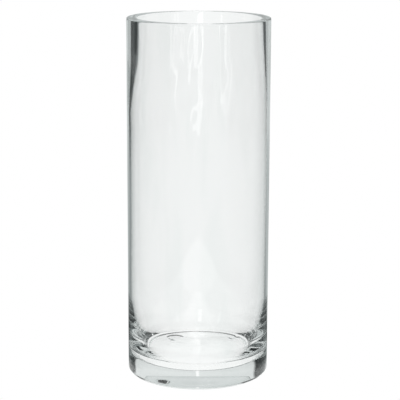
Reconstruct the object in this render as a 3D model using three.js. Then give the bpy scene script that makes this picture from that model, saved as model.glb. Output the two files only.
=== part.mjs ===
// Glass cylinder vase: one clear body of revolution.
// Millimetres, +Z up, origin at the centre of the foot, on the surface it stands on.

import * as THREE from "three";

// Driving dimensions
const HEIGHT = 250;
const OUTER_RADIUS = 49.3;
const FLOOR_HEIGHT = 11; // top of the solid base, inside
const FLOOR_RADIUS = 33; // flat part of the floor, before it turns up into the wall
const WALL = 2.1; // wall at mid height
const RIM_WALL = 6.4; // wall at the bead under the rim
const FOOT_RADIUS = 36; // inner edge of the flat ring it stands on
const KICK_UP = 0.7; // rise of the underside at the centre
const HEEL_RADIUS = 3; // rounding of the outer bottom edge
const LIP_RADIUS = 1; // rounding of both edges of the rim

// The turn from the floor up into the wall, a superellipse that thickens the foot of the wall
const BOWL_TOP = 56; // above this the wall is at its thinnest
const WALL_POWER = 1.8;
const FLOOR_POWER = 2.6;

// The wall thickens again towards the rim
const BEAD_START = 175;
const BEAD_FULL = 245;

// Fineness
const SIDES = 72;
const ARC_STEPS = 5;
const BOWL_STEPS = 14;
const BEAD_STEPS = 8;

// Inside radius of the wall at a height above the bowl
function innerRadius(height) {
  const bead = (RIM_WALL - WALL) * THREE.MathUtils.smoothstep(height, BEAD_START, BEAD_FULL);
  return OUTER_RADIUS - WALL - bead;
}

// Quarter circle about (centreRadius, centreHeight), from one angle to another in degrees
function rounding(centreRadius, centreHeight, radius, fromDegrees, toDegrees) {
  const points = [];
  for (let step = 0; step <= ARC_STEPS; step += 1) {
    const angle = THREE.MathUtils.degToRad(fromDegrees + ((toDegrees - fromDegrees) * step) / ARC_STEPS);
    points.push(new THREE.Vector2(centreRadius + radius * Math.cos(angle), centreHeight + radius * Math.sin(angle)));
  }
  return points;
}

// Shallow dome of the underside, from the centre to the ring it stands on
function underside() {
  const points = [];
  for (let step = 0; step < ARC_STEPS; step += 1) {
    const radius = (FOOT_RADIUS * step) / ARC_STEPS;
    points.push(new THREE.Vector2(radius, KICK_UP * Math.cos((Math.PI / 2) * (radius / FOOT_RADIUS)) ** 2));
  }
  return points;
}

// Inner face of the wall where it thickens, from the rim down
function beadWall() {
  const points = [];
  for (let step = 0; step <= BEAD_STEPS; step += 1) {
    const height = BEAD_FULL + ((BEAD_START - BEAD_FULL) * step) / BEAD_STEPS;
    points.push(new THREE.Vector2(innerRadius(height), height));
  }
  return points;
}

// The turn from the inner face of the wall down to the floor
function bowl() {
  const width = innerRadius(BOWL_TOP) - FLOOR_RADIUS;
  const depth = BOWL_TOP - FLOOR_HEIGHT;
  const points = [];
  for (let step = 0; step <= BOWL_STEPS; step += 1) {
    const angle = ((Math.PI / 2) * step) / BOWL_STEPS;
    const across = Math.max(Math.cos(angle), 0) ** (2 / FLOOR_POWER);
    const down = Math.sin(angle) ** (2 / WALL_POWER);
    points.push(new THREE.Vector2(FLOOR_RADIUS + width * across, BOWL_TOP - depth * down));
  }
  points[BOWL_STEPS].x = FLOOR_RADIUS;
  return points;
}

function vaseProfile() {
  const lipHeight = HEIGHT - LIP_RADIUS;
  return [
    ...underside(),
    new THREE.Vector2(FOOT_RADIUS, 0),
    ...rounding(OUTER_RADIUS - HEEL_RADIUS, HEEL_RADIUS, HEEL_RADIUS, -90, 0),
    ...rounding(OUTER_RADIUS - LIP_RADIUS, lipHeight, LIP_RADIUS, 0, 90),
    ...rounding(innerRadius(HEIGHT) + LIP_RADIUS, lipHeight, LIP_RADIUS, 90, 180),
    ...beadWall(),
    ...bowl(),
    new THREE.Vector2(0, FLOOR_HEIGHT),
  ];
}

// Clear soda-lime glass with a faint green-grey cast
const clearGlass = new THREE.MeshStandardMaterial({
  name: "clear_glass",
  color: 0xdfe6e3,
  roughness: 0.03,
  metalness: 0,
  transparent: true,
  opacity: 0.35,
});

function glassBody() {
  const geometry = new THREE.LatheGeometry(vaseProfile(), SIDES);
  geometry.rotateX(Math.PI / 2);
  const mesh = new THREE.Mesh(geometry, clearGlass);
  mesh.name = "glass_body";
  return mesh;
}

const vase = new THREE.Group();
vase.add(glassBody());

export default vase;
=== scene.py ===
"""Glass cylinder vase: the looks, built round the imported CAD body.

Metres, +Z up, origin at the centre of the foot. The vase is one body of clear soda-lime glass. The CAD
solid is faceted, so a fine lathe mesh with the same outer form replaces it. Inside it has what hand
working leaves in such a vase: an uneven bead and wall, slow waves, tool marks, and a floor with ripples
and chill marks.
"""

import math

import bpy
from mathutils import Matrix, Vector, noise


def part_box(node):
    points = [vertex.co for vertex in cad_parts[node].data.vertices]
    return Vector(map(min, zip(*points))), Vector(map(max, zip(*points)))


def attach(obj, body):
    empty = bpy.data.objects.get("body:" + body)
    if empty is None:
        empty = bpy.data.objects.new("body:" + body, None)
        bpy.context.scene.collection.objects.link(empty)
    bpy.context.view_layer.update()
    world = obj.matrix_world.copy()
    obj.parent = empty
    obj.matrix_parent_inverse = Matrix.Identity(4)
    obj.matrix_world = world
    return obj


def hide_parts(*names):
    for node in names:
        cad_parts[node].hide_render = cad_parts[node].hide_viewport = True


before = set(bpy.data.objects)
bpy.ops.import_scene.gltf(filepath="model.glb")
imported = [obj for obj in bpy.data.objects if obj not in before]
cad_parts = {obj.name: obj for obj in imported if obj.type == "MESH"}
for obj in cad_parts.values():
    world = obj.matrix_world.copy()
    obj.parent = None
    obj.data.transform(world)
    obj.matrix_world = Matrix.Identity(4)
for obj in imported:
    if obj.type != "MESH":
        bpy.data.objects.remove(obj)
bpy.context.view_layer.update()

MM = 0.001

# ---------------------------------------------------------------- sizes, as in the CAD
node_low, node_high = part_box("glass_body")
RADIUS = (node_high.x - node_low.x) / 2
HEIGHT = node_high.z
WALL = 2.1 * MM
RIM_WALL = 6.4 * MM
FLOOR_HEIGHT = 11.0 * MM
FLOOR_RADIUS = 33.0 * MM
FOOT_RADIUS = 36.0 * MM
KICK_UP = 0.7 * MM
HEEL_RADIUS = 3.0 * MM
LIP_RADIUS = 1.0 * MM
BOWL_TOP = 56.0 * MM
WALL_POWER = 1.8
FLOOR_POWER = 2.6
BEAD_START = 175.0 * MM
BEAD_FULL = 245.0 * MM

# ---------------------------------------------------------------- hand working, a guess, in the looks only
BEAD_LEAN = 9.0 * MM  # how much higher the bead's upper end is at +X, and lower at -X
LEAN_RATIO = 3  # its lower end leans the other way, this many times less
WALL_LEAN = 0.45 * MM  # how much thinner the wall is at +X, and thicker at -X
WALL_LEAN_FULL = BEAD_START + 30.0 * MM  # the height from which that is full
WAVE_DEPTH = 0.03 * MM
WAVE_WIDTH = 14.0 * MM
WAVE_LENGTH = 60.0 * MM
TOOL_DEPTH = 0.5 * MM
TOOL_WIDTH = 6.0 * MM
TOOL_LENGTH = 18.0 * MM
TOOL_FADE = 20.0 * MM  # the tool waves come in over this height on each side of the bead's start
TOOL_FOCUS = 4  # the power that gathers them at the front
RIPPLE_DEPTH = 0.10 * MM
RIPPLE_WIDTH = 16.0 * MM
UNDER_SEED = 3.5
FLOOR_SEED = 8.5
# Chill marks on the floor, two curled folds and one shallow dimple, in millimetres:
# x, y, radius of the curl, width, depth, and which way the curl is open in degrees
CHILL_MARKS = [
    (-17.0, 17.0, 6.0, 1.1, 0.45, -40.0),
    (27.0, 17.0, 3.0, 1.0, 0.45, 120.0),
    (-13.0, 0.0, 0.0, 6.0, 0.15, 0.0),
]
# Cosines of the angle from the middle of the opening, where a curl has gone and where it is whole
CURL_ENDS = (0.8, 0.2)

# Fineness of the mesh
SEGMENTS = 312
UNDER_ROWS = 20
FOOT_ROWS = 5
HEEL_STEPS = 12
OUTER_ROWS = 16
LIP_STEPS = 8
INNER_ROWS = 120
BOWL_STEPS = 60
FLOOR_ROWS = 61


def smoothstep(start, end, value):
    """0 at start and 1 at end; start may be the larger of the two."""
    t = min(max((value - start) / (end - start), 0.0), 1.0)
    return t * t * (3.0 - 2.0 * t)


# ---------------------------------------------------------------- the glass
def bead(angle, height):
    """Extra wall of the rim's bead. It comes in over a shorter height on the left (-X) than on the right."""
    lean = BEAD_LEAN * math.cos(angle)
    return (RIM_WALL - WALL) * smoothstep(BEAD_START - lean / LEAN_RATIO, BEAD_FULL + lean, height)


def waves(angle, height):
    """Shift of the inner face: slow waves along the wall, and tool waves at the front of the bead."""
    x, y = RADIUS * math.cos(angle), RADIUS * math.sin(angle)
    slow = noise.noise(Vector((x / WAVE_WIDTH, y / WAVE_WIDTH, height / WAVE_LENGTH)))
    fine = noise.noise(Vector((x / TOOL_WIDTH, y / TOOL_WIDTH, height / TOOL_LENGTH)))
    front = max(-math.sin(angle), 0.0) ** TOOL_FOCUS
    worked = front * smoothstep(BEAD_START - TOOL_FADE, BEAD_START + TOOL_FADE, height)
    return WAVE_DEPTH * slow + TOOL_DEPTH * worked * fine


def inner_radius(angle, height):
    uneven = WALL_LEAN * math.cos(angle) * smoothstep(BOWL_TOP, WALL_LEAN_FULL, height)
    return RADIUS - WALL + uneven - bead(angle, height) + waves(angle, height)


def floor_ripple(angle, r, seed):
    """Height of the ripples that the glass set with, on the floor and on the underside."""
    x, y = r * math.cos(angle), r * math.sin(angle)
    return RIPPLE_DEPTH * noise.noise(Vector((x / RIPPLE_WIDTH, y / RIPPLE_WIDTH, seed)))


def chill_marks(angle, r):
    """Depth of the chill marks at one point of the floor."""
    x, y = r * math.cos(angle) / MM, r * math.sin(angle) / MM
    depth = 0.0
    for mark_x, mark_y, curl, width, mark_depth, opening in CHILL_MARKS:
        across, along = x - mark_x, y - mark_y
        away = (math.hypot(across, along) - curl) / width
        facing = math.cos(math.atan2(along, across) - math.radians(opening)) if curl else -1.0
        depth += mark_depth * MM * math.exp(-away * away) * smoothstep(*CURL_ENDS, facing)
    return depth


def arc(r, z, radius, start, end, steps):
    """Points of a circle about (r, z), between two angles in degrees."""
    points = []
    for step in range(steps + 1):
        a = math.radians(start + (end - start) * step / steps)
        points.append((r + radius * math.cos(a), z + radius * math.sin(a)))
    return points


def underside(angle):
    """The shallow dome under the vase, from its middle, and the flat ring that the vase stands on."""
    points = []
    for step in range(UNDER_ROWS):
        r = FOOT_RADIUS * step / UNDER_ROWS
        dome = math.cos(math.pi / 2 * r / FOOT_RADIUS) ** 2
        points.append((r, KICK_UP * dome + dome * abs(floor_ripple(angle, r, UNDER_SEED))))
    for step in range(FOOT_ROWS):
        points.append((FOOT_RADIUS + (RADIUS - HEEL_RADIUS - FOOT_RADIUS) * step / FOOT_ROWS, 0.0))
    return points


def bowl(angle):
    """The turn from the inner wall down to the floor, a superellipse, and the floor to its middle."""
    width = inner_radius(angle, BOWL_TOP) - FLOOR_RADIUS
    points = []
    for step in range(BOWL_STEPS + 1):
        a = math.pi / 2 * step / BOWL_STEPS
        r = FLOOR_RADIUS + width * max(math.cos(a), 0.0) ** (2.0 / FLOOR_POWER)
        down = math.sin(a) ** (2.0 / WALL_POWER)
        rough = floor_ripple(angle, r, FLOOR_SEED) - chill_marks(angle, r)
        points.append((r, BOWL_TOP + (FLOOR_HEIGHT - BOWL_TOP) * down + rough * down))
    for step in range(1, FLOOR_ROWS):
        r = FLOOR_RADIUS * (1.0 - step / FLOOR_ROWS)
        points.append((r, FLOOR_HEIGHT + floor_ripple(angle, r, FLOOR_SEED) - chill_marks(angle, r)))
    return points


def profile(angle):
    """The section at one angle, from the middle of the underside round to near the middle of the floor."""
    points = underside(angle)
    points += arc(RADIUS - HEEL_RADIUS, HEEL_RADIUS, HEEL_RADIUS, -90, 0, HEEL_STEPS)
    for row in range(1, OUTER_ROWS):
        share = (1.0 - math.cos(math.pi * row / OUTER_ROWS)) / 2.0
        points.append((RADIUS, HEEL_RADIUS + (HEIGHT - LIP_RADIUS - HEEL_RADIUS) * share))
    lip_height = HEIGHT - LIP_RADIUS
    points += arc(RADIUS - LIP_RADIUS, lip_height, LIP_RADIUS, 0, 90, LIP_STEPS)
    points += arc(inner_radius(angle, HEIGHT) + LIP_RADIUS, lip_height, LIP_RADIUS, 90, 180, LIP_STEPS)
    for row in range(1, INNER_ROWS):
        height = HEIGHT - LIP_RADIUS + (BOWL_TOP + LIP_RADIUS - HEIGHT) * row / INNER_ROWS
        points.append((inner_radius(angle, height), height))
    return points + bowl(angle)


def make_glass():
    """The profile turned about Z, closed by a fan at the middle of the underside and of the floor."""
    vertices = []
    rows = len(profile(0.0)) - 1
    for segment in range(SEGMENTS):
        angle = 2.0 * math.pi * segment / SEGMENTS
        for r, z in profile(angle)[1:]:
            vertices.append((r * math.cos(angle), r * math.sin(angle), z))
    under_middle = len(vertices)
    floor_middle = under_middle + 1
    floor_level = FLOOR_HEIGHT + floor_ripple(0.0, 0.0, FLOOR_SEED) - chill_marks(0.0, 0.0)
    vertices.append((0.0, 0.0, profile(0.0)[0][1]))
    vertices.append((0.0, 0.0, floor_level))
    faces = []
    for segment in range(SEGMENTS):
        here = segment * rows
        there = (segment + 1) % SEGMENTS * rows
        faces.append((under_middle, there, here))
        for row in range(rows - 1):
            faces.append((here + row, there + row, there + row + 1, here + row + 1))
        faces.append((here + rows - 1, there + rows - 1, floor_middle))
    mesh = bpy.data.meshes.new("vase_glass")
    mesh.from_pydata(vertices, [], faces)
    mesh.update()
    mesh.shade_smooth()
    piece = bpy.data.objects.new("vase_glass", mesh)
    bpy.context.scene.collection.objects.link(piece)
    return piece


# ---------------------------------------------------------------- node helpers
def node(tree, kind, **settings):
    made = tree.nodes.new(kind)
    for name, value in settings.items():
        setattr(made, name, value)
    return made


def feed(tree, socket, value):
    """Links a socket to an output, or sets it to a constant."""
    if isinstance(value, bpy.types.NodeSocket):
        tree.links.new(value, socket)
    else:
        socket.default_value = value


def math_node(tree, operation, *inputs):
    made = node(tree, "ShaderNodeMath", operation=operation)
    for socket, value in zip(made.inputs, inputs):
        feed(tree, socket, value)
    return made.outputs[0]


def length_node(tree, a, b):
    """Length of the vector (a, b)."""
    a_squared = math_node(tree, "MULTIPLY", a, a)
    b_squared = math_node(tree, "MULTIPLY", b, b)
    return math_node(tree, "SQRT", math_node(tree, "ADD", a_squared, b_squared))


def map_range(tree, value, from_min, from_max, to_min, to_max):
    """Eases from one number to another as the value crosses a range."""
    made = node(tree, "ShaderNodeMapRange", clamp=True, interpolation_type="SMOOTHSTEP")
    numbers = {"From Min": from_min, "From Max": from_max, "To Min": to_min, "To Max": to_max}
    feed(tree, made.inputs["Value"], value)
    for name, number in numbers.items():
        made.inputs[name].default_value = number
    return made.outputs["Result"]


def mix_colour(tree, factor, a, b):
    made = node(tree, "ShaderNodeMix", data_type="RGBA")
    colours = [socket for socket in made.inputs if socket.type == "RGBA"]
    feed(tree, made.inputs["Factor"], factor)
    feed(tree, colours[0], a)
    feed(tree, colours[1], b)
    return [socket for socket in made.outputs if socket.type == "RGBA"][0]


def noise_texture(tree, vector, scale, detail):
    made = node(tree, "ShaderNodeTexNoise")
    tree.links.new(vector, made.inputs["Vector"])
    made.inputs["Scale"].default_value = scale
    made.inputs["Detail"].default_value = detail
    return made.outputs["Fac"]


# ---------------------------------------------------------------- the glass's look
GLASS_INDEX = 1.52
GLASS_TINT = (0.855, 0.875, 0.870, 1.0)
GLASS_DENSITY = 8.0
CLEAN_GLASS = (1.0, 1.0, 1.0, 1.0)
HAZED_GLASS = (0.965, 0.975, 0.972, 1.0)
HAZE_STRETCH = (60.0, 60.0, 9.0)  # noise cells per metre: the haze is drawn out along the wall
HAZE_DETAIL = 4.0
HAZE_RANGE = (0.50, 0.72)
HAZE_ROUGHNESS = 0.012
GROUND_ROUGHNESS = 0.12
GROUND_HEIGHT = (0.05 * MM, 0.5 * MM)
GROUND_EDGE = (RADIUS - 6.0 * MM, RADIUS - 5.0 * MM)
GRIT_SCALE = 900.0
GRIT_DETAIL = 2.0
GRIT_SHIFT = 0.5


def haze_mask(tree, place):
    """Where the faint haze lies, from 0 to 1, in streaks along the wall."""
    drawn = node(tree, "ShaderNodeMapping")
    tree.links.new(place, drawn.inputs["Vector"])
    drawn.inputs["Scale"].default_value = HAZE_STRETCH
    streaks = noise_texture(tree, drawn.outputs["Vector"], 1.0, HAZE_DETAIL)
    return map_range(tree, streaks, *HAZE_RANGE, 0.0, 1.0)


def ground_roughness(tree, place):
    """Roughness of the ring that the vase stands on, ground with a fine grit."""
    axes = node(tree, "ShaderNodeSeparateXYZ")
    tree.links.new(place, axes.inputs[0])
    low = map_range(tree, axes.outputs["Z"], *GROUND_HEIGHT, 1.0, 0.0)
    across = length_node(tree, axes.outputs["X"], axes.outputs["Y"])
    outer = map_range(tree, across, *GROUND_EDGE, 0.0, 1.0)
    ground = math_node(tree, "MULTIPLY", math_node(tree, "MULTIPLY", low, outer), GROUND_ROUGHNESS)
    grit = noise_texture(tree, place, GRIT_SCALE, GRIT_DETAIL)
    return math_node(tree, "MULTIPLY", ground, math_node(tree, "ADD", grit, GRIT_SHIFT))


def glass_material():
    """Clear glass with a faint haze on its faces, a ground ring where it stands, and a grey-green tint."""
    material = bpy.data.materials.new("clear_glass")
    material.use_nodes = True
    tree = material.node_tree
    shader = tree.nodes["Principled BSDF"]
    shader.inputs["IOR"].default_value = GLASS_INDEX
    shader.inputs["Transmission Weight"].default_value = 1.0

    place = node(tree, "ShaderNodeTexCoord").outputs["Object"]
    haze = haze_mask(tree, place)
    tree.links.new(mix_colour(tree, haze, CLEAN_GLASS, HAZED_GLASS), shader.inputs["Base Color"])
    smear = math_node(tree, "MULTIPLY", haze, HAZE_ROUGHNESS)
    roughness = math_node(tree, "MAXIMUM", ground_roughness(tree, place), smear)
    tree.links.new(roughness, shader.inputs["Roughness"])

    tint = node(tree, "ShaderNodeVolumeAbsorption")
    tint.inputs["Color"].default_value = GLASS_TINT
    tint.inputs["Density"].default_value = GLASS_DENSITY
    tree.links.new(tint.outputs["Volume"], tree.nodes["Material Output"].inputs["Volume"])
    return material


# ---------------------------------------------------------------- camera
CAMERA_DISTANCE = 1.0055
CAMERA_HEIGHT = 0.345
CAMERA_SIDE = 0.5 * MM
CAMERA_PITCH = math.radians(12.47)
CAMERA_ROLL = math.radians(-0.19)
SENSOR = 36.0  # millimetres, as the lens
LENS = 132.714
CLIP_START = 0.05
CLIP_END = 50.0


def make_camera():
    data = bpy.data.cameras.new("camera")
    camera = bpy.data.objects.new("camera", data)
    bpy.context.scene.collection.objects.link(camera)
    camera.location = (CAMERA_SIDE, -CAMERA_DISTANCE, CAMERA_HEIGHT)
    camera.rotation_euler = (math.pi / 2 - CAMERA_PITCH, CAMERA_ROLL, 0.0)
    data.sensor_width = SENSOR
    data.lens = LENS
    data.clip_start = CLIP_START
    data.clip_end = CLIP_END
    bpy.context.scene.camera = camera


# ---------------------------------------------------------------- stage and light
# Clear glass shows little but what is round it, and the real studio isn't known. So the stage is a guess,
# tuned by trial until the glass drew the right lines from the front. No real light differs by path as this
# does. The camera sees plain white paper.
# The paper glows though it is no lamp: apart from the plain white the camera sees, its brightness is painted
# light and shade.
STAGE_RADIUS = 3.0
STAGE_SIDES = 96
WALL_HEIGHT = 3.0
FLOOR_LEVEL = -0.2 * MM
WHITE = (1.0, 1.0, 1.0, 1.0)
ROOM_LIGHT = 0.08  # above the paper wall, for all but the camera
# Glow of the painted dark strips on the paper
DARK = 0.03
PAPER_RED = 0.985
PAPER_BLUE = 0.995
# Blue-green cast of the painted dark strips
DARK_CAST = 0.12
# Straight through the glass the paper glows white, so the glass looks clear, apart from two narrow painted
# dark strips, in place of black cloth, far out at the back. Mirrored light meets more painted dark, which
# draws the dark edges and the bars of the base as painted reflections. Glow by direction from the vase:
# degrees from +Y towards +X, brightness.
THROUGH_FAR = [
    (-180, 1.0), (-52, 1.0), (-48, DARK), (-30, DARK), (-27, 1.0), (36, 1.0), (39, DARK), (48, DARK),
    (52, 1.0), (180, 1.0),
]
FAR_OUT = (0.9, 1.2)
# Painted light and shade that the glass mirrors, by direction
MIRRORED = [
    (-180, 0.4), (-140, 0.3), (-118, 0.1), (-90, 0.08), (-66, 0.2), (-58, 0.2), (-52, DARK), (-30, DARK),
    (-27, 0.55), (-8, 0.65), (4, 0.7), (14, 0.65), (36, 0.55), (39, DARK), (46, DARK), (52, 0.3),
    (75, 0.25), (95, 0.12), (120, 0.1), (140, 0.3), (180, 0.4),
]
# Painted light and shade that the glass mirrors from higher up the wall
MIRRORED_HIGH = [
    (-180, DARK), (-46, DARK), (-42, 0.8), (0, 0.85), (53, 0.85), (57, DARK), (180, DARK),
]
HIGH_WALL = (0.6, 0.75)
# Between these distances from a point ahead of the vase, with X counted double, the white floor gives way
# to the pattern above
MIRRORED_NEAR = (0.15, 0.19)
NEAR_ASPECT = 2.0
NEAR_AHEAD = 0.12
# The painted dark strips lie further out: between these distances mirrored light meets mostly painted shade,
# a dimmer glow of the paper
SHADE_START = (0.10, 0.20)
SHADE_END = (0.6, 1.2)
SHADE_SHARE = 0.65
SHADE_LEVEL = 0.42
# Name, degrees from +Y towards +X, degrees above the horizon, distance, width, height, mirrored brightness
SOFTBOXES = [
    ("softbox_left", -137, 10, 1.3, 0.08, 0.6, 1.4),
    ("softbox_middle", -176, 10, 1.3, 0.14, 0.6, 2.2),
    ("softbox_right", 138, 10, 1.3, 0.08, 0.6, 1.6),
    ("softbox_top", 150, 80, 1.4, 0.6, 0.6, 1.5),
    ("softbox_back", 0, 17, 2.4, 0.06, 0.9, 1.12),
]


def painted_glow_colour(brightness):
    """Colour of the painted glow: lit paper nearly neutral, the painted dark strips a little blue-green."""
    red = brightness * (PAPER_RED - DARK_CAST * (1.0 - brightness))
    return (red, brightness, brightness * PAPER_BLUE, 1.0)


def direction_ramp(tree, turn, stops):
    """Painted glow colour by direction, from a list of (degrees, brightness)."""
    ramp = node(tree, "ShaderNodeValToRGB")
    share = math_node(tree, "ADD", math_node(tree, "DIVIDE", turn, 2 * math.pi), 0.5)
    tree.links.new(share, ramp.inputs["Fac"])
    elements = ramp.color_ramp.elements
    while len(elements) < len(stops):
        elements.new(0.5)
    for element, (degrees, brightness) in zip(elements, stops):
        element.position = (degrees + 180) / 360
        element.color = painted_glow_colour(brightness)
    return ramp.outputs["Color"]


def mirrored_light(tree):
    """1 for light that the glass has mirrored at least once on its way, 0 for light straight through it."""
    path = node(tree, "ShaderNodeLightPath")
    return math_node(tree, "GREATER_THAN", path.outputs["Glossy Depth"], 0.5)


def glowing_material(name):
    """A material that only gives light: the material, its tree and the node that glows."""
    material = bpy.data.materials.new(name)
    material.use_nodes = True
    tree = material.node_tree
    tree.nodes.clear()
    glow = node(tree, "ShaderNodeEmission")
    out = node(tree, "ShaderNodeOutputMaterial")
    tree.links.new(glow.outputs["Emission"], out.inputs["Surface"])
    return material, tree, glow


def through_paper(tree, turn, distance):
    """The painted glow that light straight through the glass meets: white, with painted dark strips far out.
    """
    far_out = map_range(tree, distance, *FAR_OUT, 0.0, 1.0)
    return mix_colour(tree, far_out, painted_glow_colour(1.0), direction_ramp(tree, turn, THROUGH_FAR))


def mirrored_paper(tree, place, turn, distance):
    """What mirrored light meets: painted white close ahead, then painted shade and painted dark strips, and
    a painted pattern high up.
    """
    side = math_node(tree, "MULTIPLY", place.outputs["X"], NEAR_ASPECT)
    ahead = math_node(tree, "ADD", place.outputs["Y"], NEAR_AHEAD)
    far = map_range(tree, length_node(tree, side, ahead), *MIRRORED_NEAR, 0.0, 1.0)
    begun = map_range(tree, distance, *SHADE_START, 0.0, SHADE_SHARE)
    not_ended = map_range(tree, distance, *SHADE_END, 1.0, 0.0)
    # Painted shade: a band of dimmer glow, mixed into the painted light and dark strips by direction
    grey = math_node(tree, "MULTIPLY", begun, not_ended)
    painted_surround = mix_colour(tree, grey, direction_ramp(tree, turn, MIRRORED), painted_glow_colour(SHADE_LEVEL))
    low = mix_colour(tree, far, painted_glow_colour(1.0), painted_surround)
    high = map_range(tree, place.outputs["Z"], *HIGH_WALL, 0.0, 1.0)
    return mix_colour(tree, high, low, direction_ramp(tree, turn, MIRRORED_HIGH))


def paper_material():
    """White studio paper that glows, with painted light and shade and painted dark strips at both sides,
    most of which only mirrored light meets.
    """
    material, tree, glow = glowing_material("studio_paper")
    place = node(tree, "ShaderNodeSeparateXYZ")
    tree.links.new(node(tree, "ShaderNodeNewGeometry").outputs["Position"], place.inputs[0])
    turn = math_node(tree, "ARCTAN2", place.outputs["X"], place.outputs["Y"])
    distance = length_node(tree, place.outputs["X"], place.outputs["Y"])
    through = through_paper(tree, turn, distance)
    mirrored = mirrored_paper(tree, place, turn, distance)
    in_glass = mix_colour(tree, mirrored_light(tree), through, mirrored)
    path = node(tree, "ShaderNodeLightPath")
    seen = mix_colour(tree, path.outputs["Is Camera Ray"], in_glass, WHITE)
    tree.links.new(seen, glow.inputs["Color"])
    return material


def add_mesh(name, vertices, faces, material):
    mesh = bpy.data.meshes.new(name)
    mesh.from_pydata(vertices, [], faces)
    mesh.materials.append(material)
    made = bpy.data.objects.new(name, mesh)
    bpy.context.scene.collection.objects.link(made)
    return made


def make_paper():
    """A round paper floor and the paper wall that stands along its edge."""
    material = paper_material()
    turns = [2 * math.pi * side / STAGE_SIDES for side in range(STAGE_SIDES)]
    ring = [(STAGE_RADIUS * math.sin(turn), STAGE_RADIUS * math.cos(turn)) for turn in turns]
    low = [(x, y, FLOOR_LEVEL) for x, y in ring]
    high = [(x, y, WALL_HEIGHT) for x, y in ring]
    floor = add_mesh("floor", low, [tuple(range(STAGE_SIDES))], material)
    quads = []
    for side in range(STAGE_SIDES):
        after = (side + 1) % STAGE_SIDES
        quads.append((side, after, STAGE_SIDES + after, STAGE_SIDES + side))
    backdrop = add_mesh("backdrop", low + high, quads, material)


def softbox(name, turn, lift, distance, width, height, strength):
    """A lit panel facing the vase, as bright as the paper except where the glass mirrors it.

    turn is degrees from +Y towards +X, lift is degrees above the horizon.
    """
    material, tree, glow = glowing_material(name)
    power = math_node(tree, "MULTIPLY_ADD", mirrored_light(tree), strength - 1.0, 1.0)
    tree.links.new(power, glow.inputs["Strength"])
    w, h = width / 2, height / 2
    panel = add_mesh(name, [(-w, -h, 0), (w, -h, 0), (w, h, 0), (-w, h, 0)], [(0, 1, 2, 3)], material)
    a, e = math.radians(turn), math.radians(lift)
    aim = Vector((math.sin(a) * math.cos(e), math.cos(a) * math.cos(e), math.sin(e)))
    panel.location = Vector((0.0, 0.0, HEIGHT / 2)) + aim * distance
    panel.rotation_euler = aim.to_track_quat("Z", "Y").to_euler()
    panel.visible_camera = False


def make_world():
    """White to the camera, and a dim room to all other light."""
    world = bpy.data.worlds.new("studio")
    bpy.context.scene.world = world
    world.use_nodes = True
    tree = world.node_tree
    path = node(tree, "ShaderNodeLightPath")
    seen = node(tree, "ShaderNodeMix", data_type="FLOAT")
    tree.links.new(path.outputs["Is Camera Ray"], seen.inputs["Factor"])
    seen.inputs["A"].default_value = ROOM_LIGHT
    seen.inputs["B"].default_value = 1.0
    tree.links.new(seen.outputs["Result"], tree.nodes["Background"].inputs["Strength"])
    tree.nodes["Background"].inputs["Color"].default_value = WHITE


make_camera()
make_world()
make_paper()
for settings in SOFTBOXES:
    softbox(*settings)
glass = make_glass()
glass.data.materials.append(glass_material())
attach(glass, "root")
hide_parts("glass_body")

BOUNCES = 40
scene = bpy.context.scene
scene.view_settings.view_transform = "Standard"
scene.cycles.max_bounces = BOUNCES
scene.cycles.transmission_bounces = BOUNCES
scene.cycles.glossy_bounces = BOUNCES
scene.cycles.use_denoising = True
